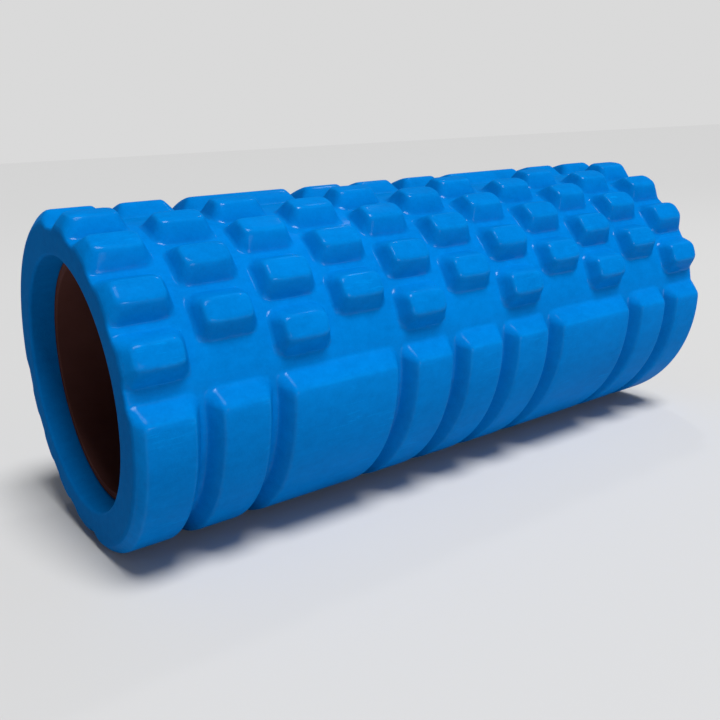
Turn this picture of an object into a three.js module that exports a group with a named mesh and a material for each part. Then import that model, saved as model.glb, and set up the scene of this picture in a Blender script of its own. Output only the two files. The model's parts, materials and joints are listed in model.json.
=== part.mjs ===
// Foam roller: a moulded foam sleeve bonded to a rigid hollow tube.
// Millimetres, +Z up. The roller lies along X on the plane z = 0, with the origin under its middle.
import * as THREE from 'three';

// Overall size
const LENGTH = 330;
const OUTER_RADIUS = 71;
const RELIEF_HEIGHT = 7;
const BORE_RADIUS = 53;
const MOUTH_CHAMFER = 1;

// Relief pattern along the roller, in columns
const COLUMN_COUNT = 11;
const COLUMN_PITCH = 30.4;
const FACE_HALF_LENGTH = 9.5;
const FOOT_HALF_LENGTH = 13.6;
const WIDE_BAR_STARTS = [2, 7];

// Relief pattern round the roller, in degrees from +Y towards +Z.
// Half a turn holds one field of blocks and one of bars.
const ROW_STEP = 20;
const ROWS_IN_EVEN_COLUMNS = 4;
const ROWS_IN_ODD_COLUMNS = 3;
const BLOCK_FACE_HALF_ANGLE = 3.6;
const BAR_FACE_START = 49.5;
const BAR_WALL_ANGLE = 6;
const BAR_FACE_STEPS = 9;
const HALF_TURN = 180;
const QUARTER_TURN = 90;
const STRAIGHT_DOWN = 270;

// Tube and adhesive
const TUBE_RECESS = 10.5;
const TUBE_OUTER_RADIUS = 52;
const TUBE_WALL = 3.5;
const TUBE_CHAMFER = 0.6;
const GLUE_INNER_RADIUS = 52.3;
const GLUE_OUTER_RADIUS = 52.6;
const GLUE_SETBACK = 4;
const TUBE_SIDES = 48;

const BASE_RADIUS = OUTER_RADIUS - RELIEF_HEIGHT;
const HALF_LENGTH = LENGTH / 2;
const ROW_HALF_STEP = ROW_STEP / 2;

// The roller rests in the groove between the last bar edge and the first block edge,
// so half of that groove sets how the pattern is turned and how high the axis lies.
const FIRST_ROW_ANGLE = -ROW_STEP * (ROWS_IN_EVEN_COLUMNS - 1) / 2;
const FIRST_FACE_ANGLE = FIRST_ROW_ANGLE - BLOCK_FACE_HALF_ANGLE;
const HALF_GROOVE = (BAR_FACE_START + FIRST_FACE_ANGLE) / 2;
const FIELD_CENTRE = STRAIGHT_DOWN + HALF_GROOVE - FIRST_FACE_ANGLE;
const AXIS_HEIGHT = OUTER_RADIUS * Math.cos(THREE.MathUtils.degToRad(HALF_GROOVE));

const clamp01 = (value) => THREE.MathUtils.clamp(value, 0, 1);
const columnCentre = (column) => COLUMN_PITCH * (column - (COLUMN_COUNT - 1) / 2);

// Row centres of the blocks in a column, in degrees from the middle of a block field
function blockRows(column) {
  const count = column % 2 === 0 ? ROWS_IN_EVEN_COLUMNS : ROWS_IN_ODD_COLUMNS;
  return Array.from({ length: count }, (_, row) => ROW_STEP * (row - (count - 1) / 2));
}

// How far a place along the roller is up the walls of its column, from 0 at the foot to 1 on the face
function rampAlong(x, column) {
  const wall = FOOT_HALF_LENGTH - FACE_HALF_LENGTH;
  return clamp01((FOOT_HALF_LENGTH - Math.abs(x - columnCentre(column))) / wall);
}

// The same for an angle within half a turn, on the blocks of a column and on the bars
function rampRoundBlocks(angle, column) {
  const wall = ROW_HALF_STEP - BLOCK_FACE_HALF_ANGLE;
  return Math.max(...blockRows(column).map((row) => clamp01((ROW_HALF_STEP - Math.abs(angle - row)) / wall)));
}

function rampRoundBars(angle) {
  return clamp01((Math.abs(angle) - BAR_FACE_START + BAR_WALL_ANGLE) / BAR_WALL_ANGLE);
}

function isInsideWideBar(x) {
  return WIDE_BAR_STARTS.some((column) => x > columnCentre(column) && x < columnCentre(column + 1));
}

// Radius of the sleeve's outer surface at x and an angle from -90 to 90 degrees within half a turn
function outerRadius(x, angle) {
  const nearest = Math.round(x / COLUMN_PITCH + (COLUMN_COUNT - 1) / 2);
  const column = THREE.MathUtils.clamp(nearest, 0, COLUMN_COUNT - 1);
  const along = rampAlong(x, column);
  const block = Math.min(along, rampRoundBlocks(angle, column));
  const bar = Math.min(isInsideWideBar(x) ? 1 : along, rampRoundBars(angle));
  return BASE_RADIUS + RELIEF_HEIGHT * Math.max(block, bar);
}

// Places along the roller where the surface bends: the end faces, and the face and foot lines of each column
function stations() {
  const list = [];
  for (let column = 0; column < COLUMN_COUNT; column += 1) {
    const centre = columnCentre(column);
    list.push(centre - FOOT_HALF_LENGTH, centre - FACE_HALF_LENGTH);
    list.push(centre + FACE_HALF_LENGTH, centre + FOOT_HALF_LENGTH);
  }
  return list.map((x) => THREE.MathUtils.clamp(x, -HALF_LENGTH, HALF_LENGTH));
}

// Angles within half a turn where the surface bends, from -90 to just under 90 degrees
function bendAngles() {
  const angles = new Set();
  for (const column of [0, 1]) {
    for (const row of blockRows(column)) {
      const bends = [-ROW_HALF_STEP, -BLOCK_FACE_HALF_ANGLE, BLOCK_FACE_HALF_ANGLE, ROW_HALF_STEP];
      bends.forEach((bend) => angles.add(row + bend));
    }
  }
  const barFace = HALF_TURN - 2 * BAR_FACE_START;
  for (let step = 0; step <= BAR_FACE_STEPS; step += 1) {
    const angle = BAR_FACE_START + (barFace * step) / BAR_FACE_STEPS;
    angles.add(angle < QUARTER_TURN ? angle : angle - HALF_TURN);
  }
  angles.add(BAR_FACE_START - BAR_WALL_ANGLE);
  angles.add(BAR_WALL_ANGLE - BAR_FACE_START);
  return [...angles].sort((a, b) => a - b);
}

// One closed ring of points round the roller at x, with its radius given for each angle
function ring(x, radiusAt) {
  const points = [];
  for (const halfTurn of [0, HALF_TURN]) {
    for (const angle of bendAngles()) {
      const turn = THREE.MathUtils.degToRad(FIELD_CENTRE + halfTurn + angle);
      const radius = radiusAt(angle);
      points.push(new THREE.Vector3(x, radius * Math.cos(turn), radius * Math.sin(turn)));
    }
  }
  return points;
}

// A closed skin over rings, each joined to the next and the last to the first.
// Each four-sided cell is split along its higher diagonal, which keeps the corners of the blocks crisp.
function skinOverRings(rings) {
  const count = rings[0].length;
  const distance = (point) => Math.hypot(point.y, point.z);
  const indices = [];
  rings.forEach((current, i) => {
    const next = (i + 1) % rings.length;
    for (let j = 0; j < count; j += 1) {
      const k = (j + 1) % count;
      const corners = [i * count + j, i * count + k, next * count + k, next * count + j];
      const radii = [current[j], current[k], rings[next][k], rings[next][j]].map(distance);
      const [a, b, c, d] = corners;
      if (radii[0] + radii[2] >= radii[1] + radii[3]) indices.push(a, b, c, a, c, d);
      else indices.push(a, b, d, b, c, d);
    }
  });
  const geometry = new THREE.BufferGeometry().setFromPoints(rings.flat());
  geometry.setIndex(indices);
  geometry.computeVertexNormals();
  return geometry;
}

function sleeveGeometry() {
  const outside = stations().map((x) => ring(x, (angle) => outerRadius(x, angle)));
  const end = HALF_LENGTH;
  const bore = [
    ring(end, () => BORE_RADIUS + MOUTH_CHAMFER),
    ring(end - MOUTH_CHAMFER, () => BORE_RADIUS),
    ring(MOUTH_CHAMFER - end, () => BORE_RADIUS),
    ring(-end, () => BORE_RADIUS + MOUTH_CHAMFER),
  ];
  return skinOverRings([...outside, ...bore]);
}

// A hollow cylinder along X, with chamfered edges at both ends
function tubeGeometry(innerRadius, outer, halfLength, chamfer) {
  const profile = [
    [innerRadius, chamfer - halfLength],
    [innerRadius + chamfer, -halfLength],
    [outer - chamfer, -halfLength],
    [outer, chamfer - halfLength],
    [outer, halfLength - chamfer],
    [outer - chamfer, halfLength],
    [innerRadius + chamfer, halfLength],
    [innerRadius, halfLength - chamfer],
  ];
  const points = profile.map(([radius, along]) => new THREE.Vector2(radius, along));
  points.push(points[0].clone());
  const geometry = new THREE.LatheGeometry(points, TUBE_SIDES);
  return geometry.rotateZ(-Math.PI / 2);
}

// The adhesive is too thin for chamfers
function filmGeometry(innerRadius, outer, halfLength) {
  const corners = [
    [innerRadius, -halfLength],
    [outer, -halfLength],
    [outer, halfLength],
    [innerRadius, halfLength],
  ];
  const points = corners.map(([radius, along]) => new THREE.Vector2(radius, along));
  points.push(points[0].clone());
  const geometry = new THREE.LatheGeometry(points, TUBE_SIDES);
  return geometry.rotateZ(-Math.PI / 2);
}

function piece(name, geometry, material) {
  const mesh = new THREE.Mesh(geometry, new THREE.MeshStandardMaterial(material));
  mesh.name = name;
  return mesh;
}

const tubeHalfLength = HALF_LENGTH - TUBE_RECESS;
const tubeInnerRadius = TUBE_OUTER_RADIUS - TUBE_WALL;

const roller = new THREE.Group();
roller.position.z = AXIS_HEIGHT;
roller.add(
  piece('foam_sleeve', sleeveGeometry(), { color: 0x0a78d6, roughness: 0.6, metalness: 0 }),
  piece('adhesive_film', filmGeometry(GLUE_INNER_RADIUS, GLUE_OUTER_RADIUS, tubeHalfLength - GLUE_SETBACK), {
    color: 0x54321f,
    roughness: 0.5,
    metalness: 0,
  }),
  piece('core_tube', tubeGeometry(tubeInnerRadius, TUBE_OUTER_RADIUS, tubeHalfLength, TUBE_CHAMFER), {
    color: 0x1d1211,
    roughness: 0.45,
    metalness: 0,
  }),
);

export default roller;
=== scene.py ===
"""Foam roller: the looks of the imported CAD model. Metres, in the CAD's frame, lying along X."""
import json
import math

import bpy
import numpy as np
from mathutils import Matrix, Vector

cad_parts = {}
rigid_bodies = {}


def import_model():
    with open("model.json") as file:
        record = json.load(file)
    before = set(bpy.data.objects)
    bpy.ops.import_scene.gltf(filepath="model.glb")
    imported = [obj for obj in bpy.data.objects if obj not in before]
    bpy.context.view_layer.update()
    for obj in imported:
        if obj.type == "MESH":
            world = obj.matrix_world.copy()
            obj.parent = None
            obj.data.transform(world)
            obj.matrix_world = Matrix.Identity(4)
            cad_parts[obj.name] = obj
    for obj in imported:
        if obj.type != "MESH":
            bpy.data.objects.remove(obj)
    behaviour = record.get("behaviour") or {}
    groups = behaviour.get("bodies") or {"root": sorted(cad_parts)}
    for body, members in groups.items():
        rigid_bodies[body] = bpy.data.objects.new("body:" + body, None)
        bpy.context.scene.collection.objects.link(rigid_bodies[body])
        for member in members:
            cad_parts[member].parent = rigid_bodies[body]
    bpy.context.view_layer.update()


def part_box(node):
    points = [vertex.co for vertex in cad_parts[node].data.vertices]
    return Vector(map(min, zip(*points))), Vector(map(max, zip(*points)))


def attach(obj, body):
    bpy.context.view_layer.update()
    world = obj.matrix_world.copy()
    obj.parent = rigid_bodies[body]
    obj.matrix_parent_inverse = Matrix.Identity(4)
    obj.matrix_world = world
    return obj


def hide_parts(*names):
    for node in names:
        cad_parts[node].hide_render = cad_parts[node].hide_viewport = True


MM = 0.001


def clear_scene():
    for item in list(bpy.data.objects):
        bpy.data.objects.remove(item, do_unlink=True)


clear_scene()
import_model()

# ---------------------------------------------------------------- sizes, in millimetres and degrees

# The sleeve, the tube and the adhesive between them
SLEEVE_LOW, SLEEVE_HIGH = (np.array(corner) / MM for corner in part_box("foam_sleeve"))
TUBE_LOW, TUBE_HIGH = (np.array(corner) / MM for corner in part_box("core_tube"))
HALF_LENGTH = (SLEEVE_HIGH[0] - SLEEVE_LOW[0]) / 2
AXIS_HEIGHT = (SLEEVE_HIGH[2] + SLEEVE_LOW[2]) / 2
OUTER_RADIUS = 71.0
RELIEF_HEIGHT = 7.0
BASE_RADIUS = OUTER_RADIUS - RELIEF_HEIGHT
BORE_RADIUS = 53.0
END_ROUND = 1.5
MOUTH_ROUND = 1.3
TUBE_RADIUS = (TUBE_HIGH[1] - TUBE_LOW[1]) / 2
TUBE_WALL = 3.5
TUBE_EDGE_ROUND = 0.5
GLUE_CLEARANCE = 0.06
GLUE_SETBACK = 1.4

# The relief along the roller, in columns
COLUMN_COUNT = 11
COLUMN_PITCH = 30.4
WIDE_BAR_STARTS = (2, 7)
FACE_HALF_LENGTH = 9.5
BLOCK_FOOT_HALF_LENGTH = 13.0
BAR_FOOT_HALF_LENGTH = 14.0
END_FOOT_EXTRA = 0.9

# The relief round the roller, in angles. Half a turn holds one field of blocks and one of bars.
HALF_TURN = 180.0
QUARTER_TURN = HALF_TURN / 2
ROW_STEP = 20.0
ROWS = (4, 3)
BLOCK_FACE_HALF_ANGLE = 3.75
BLOCK_FOOT_HALF_ANGLE = 8.7
BAR_FACE_START = 49.5
BAR_WALL_ANGLE = 6.0

# Corner radii of a foot and of a face
BLOCK_CORNERS = (5.4, 3.0)
BAR_CORNERS = (5.5, 1.8)
SMALLEST_CORNER = 0.3

# The roller rests in the groove between a bar and the first row of blocks, as wide as the CAD has it,
# so half of that groove sets how far the pattern is turned.
STRAIGHT_DOWN = 270.0
CAD_FACE_HALF_ANGLE = 3.6
FIRST_FACE = -ROW_STEP * (ROWS[0] - 1) / 2 - CAD_FACE_HALF_ANGLE
HALF_GROOVE = (BAR_FACE_START + FIRST_FACE) / 2
FIELD_CENTRE = STRAIGHT_DOWN + HALF_GROOVE - FIRST_FACE

# Millimetres round the sleeve for a degree, half way up the relief
ROUND_STEP = math.radians(OUTER_RADIUS - RELIEF_HEIGHT / 2)

# How far the rounding of face edges, feet and joins reaches, and how far the edge mask reaches
# each side of a face's edge, all as shares of the relief
FACE_BLEND = 0.20
FOOT_BLEND = 0.11
JOIN_BLEND = 0.10
EDGE_REACH = 0.13


# ---------------------------------------------------------------- relief

# Shares of the climb that are looked between, and how often that range is halved
LOWEST_CLIMB = -3.0
HIGHEST_CLIMB = 2.0
CLIMB_HALVINGS = 26


def smooth_min(a, b, reach):
    """The lower of a and b, rounded where they are within reach of each other."""
    near = np.clip(reach - np.abs(a - b), 0, None) / reach
    return np.minimum(a, b) - near * near * reach / 4


def smooth_max(a, b, reach):
    return -smooth_min(-a, -b, reach)


def column_centre(column):
    return COLUMN_PITCH * (column - (COLUMN_COUNT - 1) / 2)


def block_rows(column):
    """Middle angles of the blocks in a column."""
    count = ROWS[column % 2]
    return [ROW_STEP * (row - (count - 1) / 2) for row in range(count)]


def outline_gap(along, around, half_along, half_around, corner):
    """Distance outside an outline with rounded corners, negative inside it."""
    a = np.abs(along) - half_along + corner
    b = np.abs(around) - half_around + corner
    outside = np.hypot(np.maximum(a, 0), np.maximum(b, 0))
    return outside + np.minimum(np.maximum(a, b), 0) - corner


def climb(along, around, foot, face):
    """Share of the climb from a body's foot outline (0) to its face outline (1), carried on past both.

    Each outline is half its length, half its width and its corner radius, all in millimetres."""
    low = np.full(along.shape, LOWEST_CLIMB)
    high = np.full(along.shape, HIGHEST_CLIMB)
    for _ in range(CLIMB_HALVINGS):
        share = (low + high) / 2
        sizes = [at_foot + (at_face - at_foot) * share for at_foot, at_face in zip(foot, face)]
        sizes[2] = np.maximum(sizes[2], SMALLEST_CORNER)
        inside = outline_gap(along, around, *sizes) < 0
        low = np.where(inside, share, low)
        high = np.where(inside, high, share)
    return (low + high) / 2


def foot_reach(x, half_length):
    """Half the length of a foot, longer past the middle of an end column.

    The sleeve's ends cut the walls there off above their feet."""
    return half_length + END_FOOT_EXTRA * (np.abs(x) > column_centre(COLUMN_COUNT - 1))


def block_climb(x, angle, column, centre):
    half_foot = BLOCK_FOOT_HALF_ANGLE * ROUND_STEP
    foot = (foot_reach(x, BLOCK_FOOT_HALF_LENGTH), half_foot, BLOCK_CORNERS[0])
    face = (FACE_HALF_LENGTH, BLOCK_FACE_HALF_ANGLE * ROUND_STEP, BLOCK_CORNERS[1])
    return climb(x - column_centre(column), (angle - centre) * ROUND_STEP, foot, face)


def bar_climb(x, angle, first, last):
    middle = (column_centre(first) + column_centre(last)) / 2
    reach = (column_centre(last) - column_centre(first)) / 2
    half_face = (QUARTER_TURN - BAR_FACE_START) * ROUND_STEP
    half_foot = half_face + BAR_WALL_ANGLE * ROUND_STEP
    foot = (reach + foot_reach(x, BAR_FOOT_HALF_LENGTH), half_foot, BAR_CORNERS[0])
    face = (reach + FACE_HALF_LENGTH, half_face, BAR_CORNERS[1])
    return climb(x - middle, (QUARTER_TURN - np.abs(angle)) * ROUND_STEP, foot, face)


def bar_spans():
    """First and last column of each bar."""
    spans = []
    column = 0
    while column < COLUMN_COUNT:
        last = column + 1 if column in WIDE_BAR_STARTS else column
        spans.append((column, last))
        column = last + 1
    return spans


def raw_relief(x, angle):
    """The relief before its faces are cut flat and its edges rounded."""
    highest = np.full(x.shape, LOWEST_CLIMB)

    def raise_to(near, share_of, *which):
        share = share_of(x[near], angle[near], *which)
        highest[near] = smooth_max(highest[near], share, JOIN_BLEND)

    for column in range(COLUMN_COUNT):
        beside = np.abs(x - column_centre(column)) < COLUMN_PITCH
        for centre in block_rows(column):
            raise_to(beside & (np.abs(angle - centre) < ROW_STEP), block_climb, column, centre)
    for first, last in bar_spans():
        after_start = x > column_centre(first) - COLUMN_PITCH
        before_end = x < column_centre(last) + COLUMN_PITCH
        in_field = np.abs(angle) > BAR_FACE_START - ROW_STEP
        raise_to(after_start & before_end & in_field, bar_climb, first, last)
    return highest


def relief(x, angle):
    """Two shares for each place at x and an angle from -90 to 90 within half a turn.

    The first is its height, from 0 on the base to 1 on the faces. The second is how near it is
    to the edge of a face, from 0 to 1."""
    raw = raw_relief(x, angle)
    share = smooth_max(smooth_min(raw, 1.0, FACE_BLEND), 0.0, FOOT_BLEND)
    edge = np.clip(1 - np.abs(raw - 1) / EDGE_REACH, 0, 1)
    return share, edge


# ---------------------------------------------------------------- meshes

# How finely each skin is divided, and how far inside each end the bore's own stations begin
STATION_COUNT = 226
ANGLE_COUNT = 190
RIM_STEPS = 5
END_RING_SHARES = (0.3, 0.65)
MOUTH_STEPS = 6
BORE_STATIONS = 5
BORE_INSET = 16.0
TUBE_SIDES = 192
TUBE_STATIONS = 24
TUBE_EDGE_STEPS = 4
GLUE_SIDES = 240
GLUE_STATIONS = 15

# The bands of each rim, counted from the side, that are moulded skin
SKIN_BANDS = 2

# Sleeve stations and angles crowd together within this many millimetres and degrees of an edge,
# with this pull, worked out over this many fine steps
STATION_CROWDING = 1.0
ANGLE_CROWDING = 0.9
CROWDING_PULL = 4.0
FINE_STEPS = 6001

# The bead of adhesive: how far it bulges, half the width of its crown, and the waves along its edge,
# each a height in millimetres, a count round the roller and a shift
BEAD_BULGE = 0.35
BEAD_HALF_CROWN = 0.2
BEAD_WAVES = ((0.45, 5, 0.7), (0.3, 11, 2.1), (0.15, 23, 0.0))

# The share of the way to the bead's edge that the stations along the adhesive cover
GLUE_SPAN = 0.97


def crowded(low, high, count, edges, reach):
    """Places from low to high that crowd together near the edges, so that their rounding stays smooth."""
    fine = np.linspace(low, high, FINE_STEPS)
    density = 1 + CROWDING_PULL * sum(np.exp(-(((fine - edge) / reach) ** 2)) for edge in edges)
    total = np.concatenate([[0], np.cumsum((density[1:] + density[:-1]) / 2)])
    return np.interp(np.linspace(0, total[-1], count), total, fine)


def stations():
    """Places along the sleeve."""
    foot = (BLOCK_FOOT_HALF_LENGTH + BAR_FOOT_HALF_LENGTH) / 2
    edges = []
    for column in range(COLUMN_COUNT):
        for offset in (FACE_HALF_LENGTH, foot):
            edges += [column_centre(column) - offset, column_centre(column) + offset]
    limit = HALF_LENGTH - END_ROUND
    return crowded(-limit, limit, STATION_COUNT, edges, STATION_CROWDING)


def bend_angles():
    """Angles within half a turn."""
    edges = []
    for column in range(len(ROWS)):
        for centre in block_rows(column):
            for offset in (BLOCK_FACE_HALF_ANGLE, BLOCK_FOOT_HALF_ANGLE):
                edges += [centre - offset, centre + offset]
    for offset in (BAR_FACE_START, BAR_FACE_START - BAR_WALL_ANGLE):
        edges += [-offset, offset]
    return crowded(-QUARTER_TURN, QUARTER_TURN, ANGLE_COUNT + 1, edges, ANGLE_CROWDING)[:-1]


def grid_mesh(name, rings, masks=None):
    """A closed skin over rings, each joined to the next and the last to the first."""
    rings = np.asarray(rings)
    ring_count, count, _ = rings.shape
    i, j = np.meshgrid(np.arange(ring_count), np.arange(count), indexing="ij")
    following, beside = (i + 1) % ring_count, (j + 1) % count
    corners = (i * count + j, i * count + beside, following * count + beside, following * count + j)
    quads = np.stack(corners, -1).reshape(-1, 4)
    mesh = bpy.data.meshes.new(name)
    mesh.from_pydata((rings.reshape(-1, 3) * MM).tolist(), [], quads.tolist())
    mesh.polygons.foreach_set("use_smooth", np.ones(len(quads), bool))
    for label, values in (masks or {}).items():
        layer = mesh.attributes.new(label, "FLOAT", "POINT")
        layer.data.foreach_set("value", np.asarray(values, np.float32).ravel())
    mesh.update()
    piece = bpy.data.objects.new(name, mesh)
    bpy.context.scene.collection.objects.link(piece)
    return piece


def turns(sides):
    return np.linspace(0, 2 * math.pi, sides, endpoint=False)


def ring_at(x, radius, turn):
    """Points round the axis at a place and a radius, each one number or one for each point."""
    x = np.broadcast_to(x, turn.shape)
    radius = np.broadcast_to(radius, turn.shape)
    return np.stack([x, radius * np.cos(turn), AXIS_HEIGHT + radius * np.sin(turn)], -1)


def quarter_round(size, steps):
    """Pairs of set-in and drop from a flat end round a quarter circle to a side."""
    angles = np.linspace(0, math.pi / 2, steps)
    return [(size * (1 - math.sin(a)), size * (1 - math.cos(a))) for a in angles]


def end_profile(outer_inside, outer_end):
    """Pairs of place and radius round one end.

    They follow its rounded rim, its flat ring and the rounded mouth of the bore."""
    profile = []
    for t in np.linspace(0, 1, RIM_STEPS + 1)[1:]:
        inward = (1 - t) ** 2
        radius = inward * outer_inside + (1 - inward) * outer_end - t * t * END_ROUND
        profile.append((HALF_LENGTH - END_ROUND * inward, radius))
    rim = profile[-1][1]
    mouth = BORE_RADIUS + MOUTH_ROUND
    profile += [(HALF_LENGTH, rim * (1 - t) + mouth * t) for t in END_RING_SHARES]
    for set_in, drop in quarter_round(MOUTH_ROUND, MOUTH_STEPS):
        profile.append((HALF_LENGTH - drop, BORE_RADIUS + set_in))
    return profile


def build_sleeve():
    """The foam sleeve: its moulded outside, both flat ends and the bore."""
    angles = bend_angles()
    turn = np.radians(np.concatenate([FIELD_CENTRE + angles, FIELD_CENTRE + HALF_TURN + angles]))
    both = np.concatenate([angles, angles])
    places = stations()
    ends = np.array([-HALF_LENGTH, HALF_LENGTH])
    grid_x, grid_angle = np.meshgrid(np.concatenate([places, ends]), both, indexing="ij")
    share, edge = relief(grid_x, grid_angle)
    outer = BASE_RADIUS + RELIEF_HEIGHT * share
    rings = [ring_at(x, outer[i], turn) for i, x in enumerate(places)]
    far_end = end_profile(outer[len(places) - 1], outer[-1])
    near_end = end_profile(outer[0], outer[-2])
    bore = np.linspace(HALF_LENGTH - BORE_INSET, BORE_INSET - HALF_LENGTH, BORE_STATIONS)
    rings += [ring_at(x, radius, turn) for x, radius in far_end]
    rings += [ring_at(x, BORE_RADIUS, turn) for x in bore]
    rings += [ring_at(-x, radius, turn) for x, radius in reversed(near_end)]
    masks = {label: np.zeros((len(rings), len(turn))) for label in ("raised", "edge")}
    masks["raised"][: len(places)] = share[: len(places)]
    masks["edge"][: len(places)] = edge[: len(places)]
    piece = grid_mesh("foam_sleeve_skin", rings, masks)
    # Past the moulded skin of each rim, the ends and the bore are trimmed foam, coloured darker than the
    # skin as painted shade
    band = np.arange(len(rings)).repeat(len(turn))
    trimmed = (band >= len(places) - 1 + SKIN_BANDS) & (band < len(rings) - SKIN_BANDS)
    piece.data.polygons.foreach_set("material_index", trimmed.astype(np.int32))
    return piece


def build_tube():
    """The rigid tube, with the edges of its bore rounded.

    Known fault: the rings at its two outer edges run in the wrong order. The skin folds back there,
    and each end leans by TUBE_EDGE_ROUND instead of lying flat."""
    inner = TUBE_RADIUS - TUBE_WALL
    half = (TUBE_HIGH[0] - TUBE_LOW[0]) / 2
    turn = turns(TUBE_SIDES)
    side = half - TUBE_EDGE_ROUND
    edge = quarter_round(TUBE_EDGE_ROUND, TUBE_EDGE_STEPS)
    back = edge[::-1]
    rings = [ring_at(x, TUBE_RADIUS, turn) for x in np.linspace(-side, side, TUBE_STATIONS)]
    rings += [ring_at(half - set_in, TUBE_RADIUS - drop, turn) for set_in, drop in back[1:]]
    rings += [ring_at(half - drop, inner + set_in, turn) for set_in, drop in edge]
    rings += [ring_at(x, inner, turn) for x in np.linspace(side, -side, TUBE_STATIONS)[1:-1]]
    rings += [ring_at(-half + drop, inner + set_in, turn) for set_in, drop in back]
    rings += [ring_at(-half + set_in, TUBE_RADIUS - drop, turn) for set_in, drop in edge[:-1]]
    return grid_mesh("core_tube_skin", rings)


def build_glue():
    """The adhesive in the gap between tube and foam, with an uneven bead squeezed out at each end."""
    turn = turns(GLUE_SIDES)
    inner = TUBE_RADIUS + GLUE_CLEARANCE
    outer = BORE_RADIUS - GLUE_CLEARANCE
    crown = (inner + outer) / 2
    uneven = sum(height * np.sin(count * turn + shift) for height, count, shift in BEAD_WAVES)
    edge = TUBE_HIGH[0] - GLUE_SETBACK + uneven
    bulge = edge + BEAD_BULGE
    bead = [
        (edge, inner),
        (bulge, crown - BEAD_HALF_CROWN),
        (bulge, crown + BEAD_HALF_CROWN),
        (edge, outer),
    ]
    spans = np.linspace(-GLUE_SPAN, GLUE_SPAN, GLUE_STATIONS)
    rings = [ring_at(edge * t, inner, turn) for t in spans]
    rings += [ring_at(x, radius, turn) for x, radius in bead]
    rings += [ring_at(edge * t, outer, turn) for t in spans[::-1]]
    rings += [ring_at(-x, radius, turn) for x, radius in reversed(bead)]
    return grid_mesh("adhesive_film_skin", rings)


# ---------------------------------------------------------------- materials

# Linear colours. Each foam has a darkest and a lightest tone, and a fleck.
SKIN_TONES = ((0.0, 0.138, 0.450, 1), (0.0, 0.168, 0.535, 1), (0.0, 0.22, 0.65, 1))
# The trimmed ends and the bore are darker than the skin: painted shade in their colour.
TRIMMED_TONES_WITH_PAINTED_SHADE = ((0.0, 0.118, 0.40, 1), (0.0, 0.145, 0.47, 1), (0.0, 0.19, 0.56, 1))
SCUFF_TONE = (0.0, 0.27, 0.74, 1)
RUBBED_TONE = (0.0, 0.25, 0.68, 1)
TUBE_TONES = ((0.070, 0.024, 0.020, 1), (0.095, 0.036, 0.030, 1))
GLUE_TONES = ((0.075, 0.024, 0.012, 1), (0.12, 0.045, 0.022, 1))
FLOOR_TONE = (0.57, 0.57, 0.57, 1)

# How strongly flecks and scuffs show, and how much a scuff roughens the skin
FLECK_STRENGTH = 0.14
SCUFF_STRENGTH = 0.55
SCUFF_ROUGHNESS = 0.2

# Noise scales in X, Y and Z that draw a pattern out along the roller
MOTTLE_SCALES = (170, 260, 260)
RUB_SCALES = (90, 700, 700)
DRAW_LINE_SCALES = (0.02, 1, 1)

# Coat weight on the flats, and where edges and feet are rounded
FLAT_COAT = 0.03
ROUNDED_COAT = 0.16

# Where a Mix node has its two colours and its result
MIX_FIRST = 6
MIX_SECOND = 7
MIX_RESULT = 2


class Nodes:
    """Short calls for building one material's nodes."""

    def __init__(self, name):
        self.material = bpy.data.materials.new(name)
        self.material.use_nodes = True
        self.tree = self.material.node_tree
        self.shader = self.tree.nodes["Principled BSDF"]

    def add(self, kind, **settings):
        node = self.tree.nodes.new(kind)
        for key, value in settings.items():
            setattr(node, key, value)
        return node

    def link(self, source, target):
        self.tree.links.new(source, target)

    def place(self, scale=(1, 1, 1)):
        coordinates = self.add("ShaderNodeTexCoord")
        mapping = self.add("ShaderNodeMapping")
        mapping.inputs["Scale"].default_value = scale
        self.link(coordinates.outputs["Object"], mapping.inputs["Vector"])
        return mapping.outputs["Vector"]

    def noise(self, vector, scale, detail=3.0, roughness=0.55):
        node = self.add("ShaderNodeTexNoise")
        node.inputs["Scale"].default_value = scale
        node.inputs["Detail"].default_value = detail
        node.inputs["Roughness"].default_value = roughness
        self.link(vector, node.inputs["Vector"])
        return node.outputs["Fac"]

    def mask(self, name):
        return self.add("ShaderNodeAttribute", attribute_name=name).outputs["Fac"]

    def spread(self, value, low, high, to_low=0.0, to_high=1.0):
        """The value's range from low to high, stretched to run from to_low to to_high and held there."""
        node = self.add("ShaderNodeMapRange", clamp=True)
        limits = {"From Min": low, "From Max": high, "To Min": to_low, "To Max": to_high}
        for label, number in limits.items():
            node.inputs[label].default_value = number
        self.link(value, node.inputs["Value"])
        return node.outputs["Result"]

    def fill(self, socket, value):
        """Sets a socket to a number or colour, or links it to another node's output."""
        if isinstance(value, (float, tuple)):
            socket.default_value = value
        else:
            self.link(value, socket)

    def mix(self, share, first, second):
        node = self.add("ShaderNodeMix", data_type="RGBA")
        self.fill(node.inputs["Factor"], share)
        self.fill(node.inputs[MIX_FIRST], first)
        self.fill(node.inputs[MIX_SECOND], second)
        return node.outputs[MIX_RESULT]

    def maths(self, operation, first, second):
        node = self.add("ShaderNodeMath", operation=operation)
        self.fill(node.inputs[0], first)
        self.fill(node.inputs[1], second)
        return node.outputs[0]

    def bump(self, height, distance, strength, below=None):
        """A bump in metres, over another normal if one is given."""
        node = self.add("ShaderNodeBump")
        node.inputs["Distance"].default_value = distance
        node.inputs["Strength"].default_value = strength
        self.link(height, node.inputs["Height"])
        if below is not None:
            self.link(below, node.inputs["Normal"])
        return node.outputs["Normal"]


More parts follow.
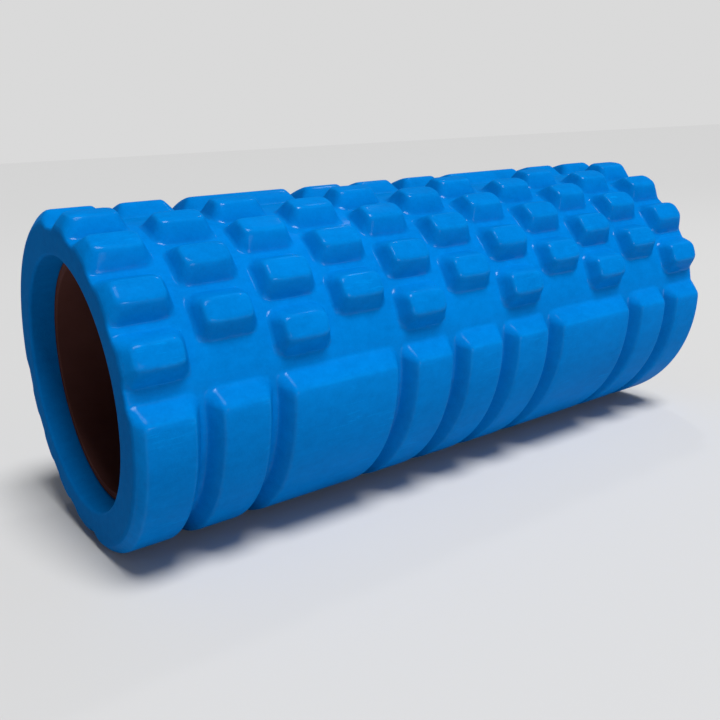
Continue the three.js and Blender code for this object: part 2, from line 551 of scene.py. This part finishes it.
def foam_colour(n, place, tones):
    """Slow drifts of tone, a mottle drawn out along the roller, and a fine lighter fleck over both."""
    darkest, lightest, fleck = tones
    drift = n.noise(place, scale=22, detail=4)
    mottle = n.noise(n.place(MOTTLE_SCALES), scale=1, detail=5, roughness=0.65)
    tone = n.spread(n.maths("ADD", drift, mottle), 0.75, 1.25)
    flecks = n.spread(n.noise(place, scale=900, detail=2), 0.35, 0.65)
    body = n.mix(tone, darkest, lightest)
    return n.mix(n.maths("MULTIPLY", flecks, FLECK_STRENGTH), body, fleck)


def scuff_marks(n, place):
    """Short rubs along the raised faces, gathered in patches."""
    raised = n.spread(n.mask("raised"), 0.85, 0.99)
    rubs = n.spread(n.noise(n.place(RUB_SCALES), scale=1, detail=4, roughness=0.7), 0.56, 0.74)
    patches = n.spread(n.noise(place, scale=30, detail=2), 0.45, 0.65)
    return n.maths("MULTIPLY", n.maths("MULTIPLY", rubs, patches), raised)


def rounded_places(n):
    """From 0 on the flats to 1 on the rounded edges of faces and just above the feet."""
    raised = n.mask("raised")
    above_base = n.spread(raised, 0.0, 0.04)
    below_wall = n.spread(raised, 0.10, 0.22, to_low=1.0, to_high=0.0)
    foot = n.maths("MULTIPLY", above_base, below_wall)
    return n.maths("MAXIMUM", n.mask("edge"), foot)


def foam_skin_material():
    """The outside of moulded closed-cell foam: a satin skin, glossier where it is rounded."""
    n = Nodes("moulded_foam_skin")
    place = n.place()
    scuffs = scuff_marks(n, place)
    rubbed = n.spread(n.noise(place, scale=60), 0.35, 0.7, to_high=0.28)
    body = foam_colour(n, place, SKIN_TONES)
    body = n.mix(n.maths("MULTIPLY", scuffs, SCUFF_STRENGTH), body, SCUFF_TONE)
    body = n.mix(n.maths("MULTIPLY", n.mask("edge"), rubbed), body, RUBBED_TONE)
    n.link(body, n.shader.inputs["Base Color"])
    satin = n.spread(n.noise(place, scale=60), 0.3, 0.7, to_low=0.34, to_high=0.46)
    satin = n.maths("ADD", satin, n.maths("MULTIPLY", scuffs, SCUFF_ROUGHNESS))
    n.link(satin, n.shader.inputs["Roughness"])
    n.shader.inputs["Specular IOR Level"].default_value = 0.003
    n.shader.inputs["Specular Tint"].default_value = (0.3, 0.7, 1, 1)
    coat = n.spread(rounded_places(n), 0.0, 1.0, to_low=FLAT_COAT, to_high=ROUNDED_COAT)
    n.link(coat, n.shader.inputs["Coat Weight"])
    n.shader.inputs["Coat Roughness"].default_value = 0.15
    normal = n.bump(n.noise(place, scale=45, detail=2), distance=0.0006, strength=0.5)
    normal = n.bump(n.noise(place, scale=300), distance=0.00012, strength=0.7, below=normal)
    normal = n.bump(n.noise(place, scale=1400, detail=2), distance=0.00006, strength=0.8, below=normal)
    n.link(normal, n.shader.inputs["Normal"])
    return n.material


def foam_end_material():
    """The trimmed ends and the bore of the foam: matt, with its cells just open, and darker than the skin
    in painted shade.
    """
    n = Nodes("trimmed_foam_painted_shade")
    place = n.place()
    n.link(foam_colour(n, place, TRIMMED_TONES_WITH_PAINTED_SHADE), n.shader.inputs["Base Color"])
    n.shader.inputs["Roughness"].default_value = 0.85
    n.shader.inputs["Specular IOR Level"].default_value = 0.02
    cells = n.add("ShaderNodeTexVoronoi")
    cells.inputs["Scale"].default_value = 1500
    n.link(place, cells.inputs["Vector"])
    normal = n.bump(n.noise(place, scale=90), distance=0.0004, strength=0.5)
    normal = n.bump(cells.outputs["Distance"], distance=0.0001, strength=0.5, below=normal)
    n.link(normal, n.shader.inputs["Normal"])
    return n.material


def tube_material():
    """Extruded dark plastic, with faint draw lines along the tube."""
    n = Nodes("tube_plastic")
    place = n.place()
    lines = n.noise(n.place(DRAW_LINE_SCALES), scale=900)
    tone = n.spread(n.noise(place, scale=30), 0.3, 0.7)
    n.link(n.mix(tone, *TUBE_TONES), n.shader.inputs["Base Color"])
    n.link(n.spread(lines, 0.3, 0.7, to_low=0.6, to_high=0.7), n.shader.inputs["Roughness"])
    n.link(n.bump(lines, distance=0.0001, strength=0.25), n.shader.inputs["Normal"])
    n.shader.inputs["Specular IOR Level"].default_value = 0.04
    return n.material


def glue_material():
    """Cured contact adhesive, dark brown and slightly cloudy."""
    n = Nodes("cured_adhesive")
    place = n.place()
    cloud = n.spread(n.noise(place, scale=120, detail=4), 0.3, 0.7)
    satin = n.spread(n.noise(place, scale=400, detail=2), 0.3, 0.7, to_low=0.3, to_high=0.5)
    n.link(n.mix(cloud, *GLUE_TONES), n.shader.inputs["Base Color"])
    n.link(satin, n.shader.inputs["Roughness"])
    normal = n.bump(n.noise(place, scale=500), distance=0.0001, strength=0.6)
    n.link(normal, n.shader.inputs["Normal"])
    return n.material


def dress(piece, *materials):
    for material in materials:
        piece.data.materials.append(material)


# ---------------------------------------------------------------- the roller

sleeve = build_sleeve()
dress(sleeve, foam_skin_material(), foam_end_material())
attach(sleeve, "root")
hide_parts("foam_sleeve")

tube = build_tube()
dress(tube, tube_material())
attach(tube, "root")
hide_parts("core_tube")

glue = build_glue()
dress(glue, glue_material())
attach(glue, "root")
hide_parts("adhesive_film")


# ---------------------------------------------------------------- floor, light and camera

FLOOR_REACH = 60.0

# How strongly the surround lights the roller, and how bright the camera sees it behind the roller
SURROUND_LIGHT = 0.13
SURROUND_SEEN = 0.70

# The camera, in metres, degrees and millimetres of lens
CAMERA_PLACE = (-0.2565, -0.3364, 0.1599)
CAMERA_YAW = 35.02
CAMERA_PITCH = 14.59
CAMERA_ROLL = -3.14
CAMERA_LENS = 41.89
CAMERA_SENSOR = 36
CAMERA_NEAR_LIMIT = 0.01


def make_floor():
    mesh = bpy.data.meshes.new("floor")
    corners = [(-1, -1), (1, -1), (1, 1), (-1, 1)]
    mesh.from_pydata([(FLOOR_REACH * x, FLOOR_REACH * y, 0) for x, y in corners], [], [(0, 1, 2, 3)])
    floor = bpy.data.objects.new("floor", mesh)
    bpy.context.scene.collection.objects.link(floor)
    material = bpy.data.materials.new("pale_floor")
    material.use_nodes = True
    shader = material.node_tree.nodes["Principled BSDF"]
    shader.inputs["Base Color"].default_value = FLOOR_TONE
    shader.inputs["Roughness"].default_value = 0.9
    shader.inputs["Specular IOR Level"].default_value = 0.1
    dress(floor, material)


def make_world():
    """A soft even surround that lights the roller faintly and shows behind it as a pale background."""
    world = bpy.data.worlds.new("studio")
    world.use_nodes = True
    tree = world.node_tree
    background = tree.nodes["Background"]
    background.inputs["Color"].default_value = (1, 1, 1, 1)
    path = tree.nodes.new("ShaderNodeLightPath")
    level = tree.nodes.new("ShaderNodeMapRange")
    level.inputs["To Min"].default_value = SURROUND_LIGHT
    level.inputs["To Max"].default_value = SURROUND_SEEN
    tree.links.new(path.outputs["Is Camera Ray"], level.inputs["Value"])
    tree.links.new(level.outputs["Result"], background.inputs["Strength"])
    bpy.context.scene.world = world


def aim_lamp(lamp, place, aim):
    lamp.location = place
    lamp.rotation_euler = (Vector(aim) - Vector(place)).to_track_quat("-Z", "Y").to_euler()
    bpy.context.scene.collection.objects.link(lamp)


def make_overhead(direction, irradiance, softness):
    """Broad even light from high up, as from a large diffuser."""
    light = bpy.data.lights.new("overhead", "SUN")
    light.energy = irradiance
    light.angle = math.radians(softness)
    aim_lamp(bpy.data.objects.new("overhead", light), direction, (0, 0, 0))


def make_lamp(name, place, size, power):
    """A round lamp aimed at the middle of the roller."""
    light = bpy.data.lights.new(name, "AREA")
    light.shape = "DISK"
    light.size = size
    light.energy = power
    aim_lamp(bpy.data.objects.new(name, light), place, (0, 0, AXIS_HEIGHT * MM))


def make_camera():
    camera = bpy.data.cameras.new("photo_camera")
    camera.lens = CAMERA_LENS
    camera.sensor_width = CAMERA_SENSOR
    camera.clip_start = CAMERA_NEAR_LIMIT
    holder = bpy.data.objects.new("photo_camera", camera)
    turn = Matrix.Rotation(math.radians(-CAMERA_YAW), 4, "Z")
    turn = turn @ Matrix.Rotation(math.radians(QUARTER_TURN - CAMERA_PITCH), 4, "X")
    turn = turn @ Matrix.Rotation(math.radians(CAMERA_ROLL), 4, "Z")
    holder.matrix_world = Matrix.Translation(CAMERA_PLACE) @ turn
    bpy.context.scene.collection.objects.link(holder)
    bpy.context.scene.camera = holder


make_floor()
make_world()
make_overhead(direction=(0.03, -0.39, 0.92), irradiance=3.65, softness=22)
make_lamp("front_box", place=(0.0, -1.5, 0.26), size=0.5, power=5.4)
make_lamp("back_lamp", place=(0.75, 0.45, 1.25), size=0.10, power=1.4)
make_camera()
bpy.context.scene.view_settings.view_transform = "Standard"
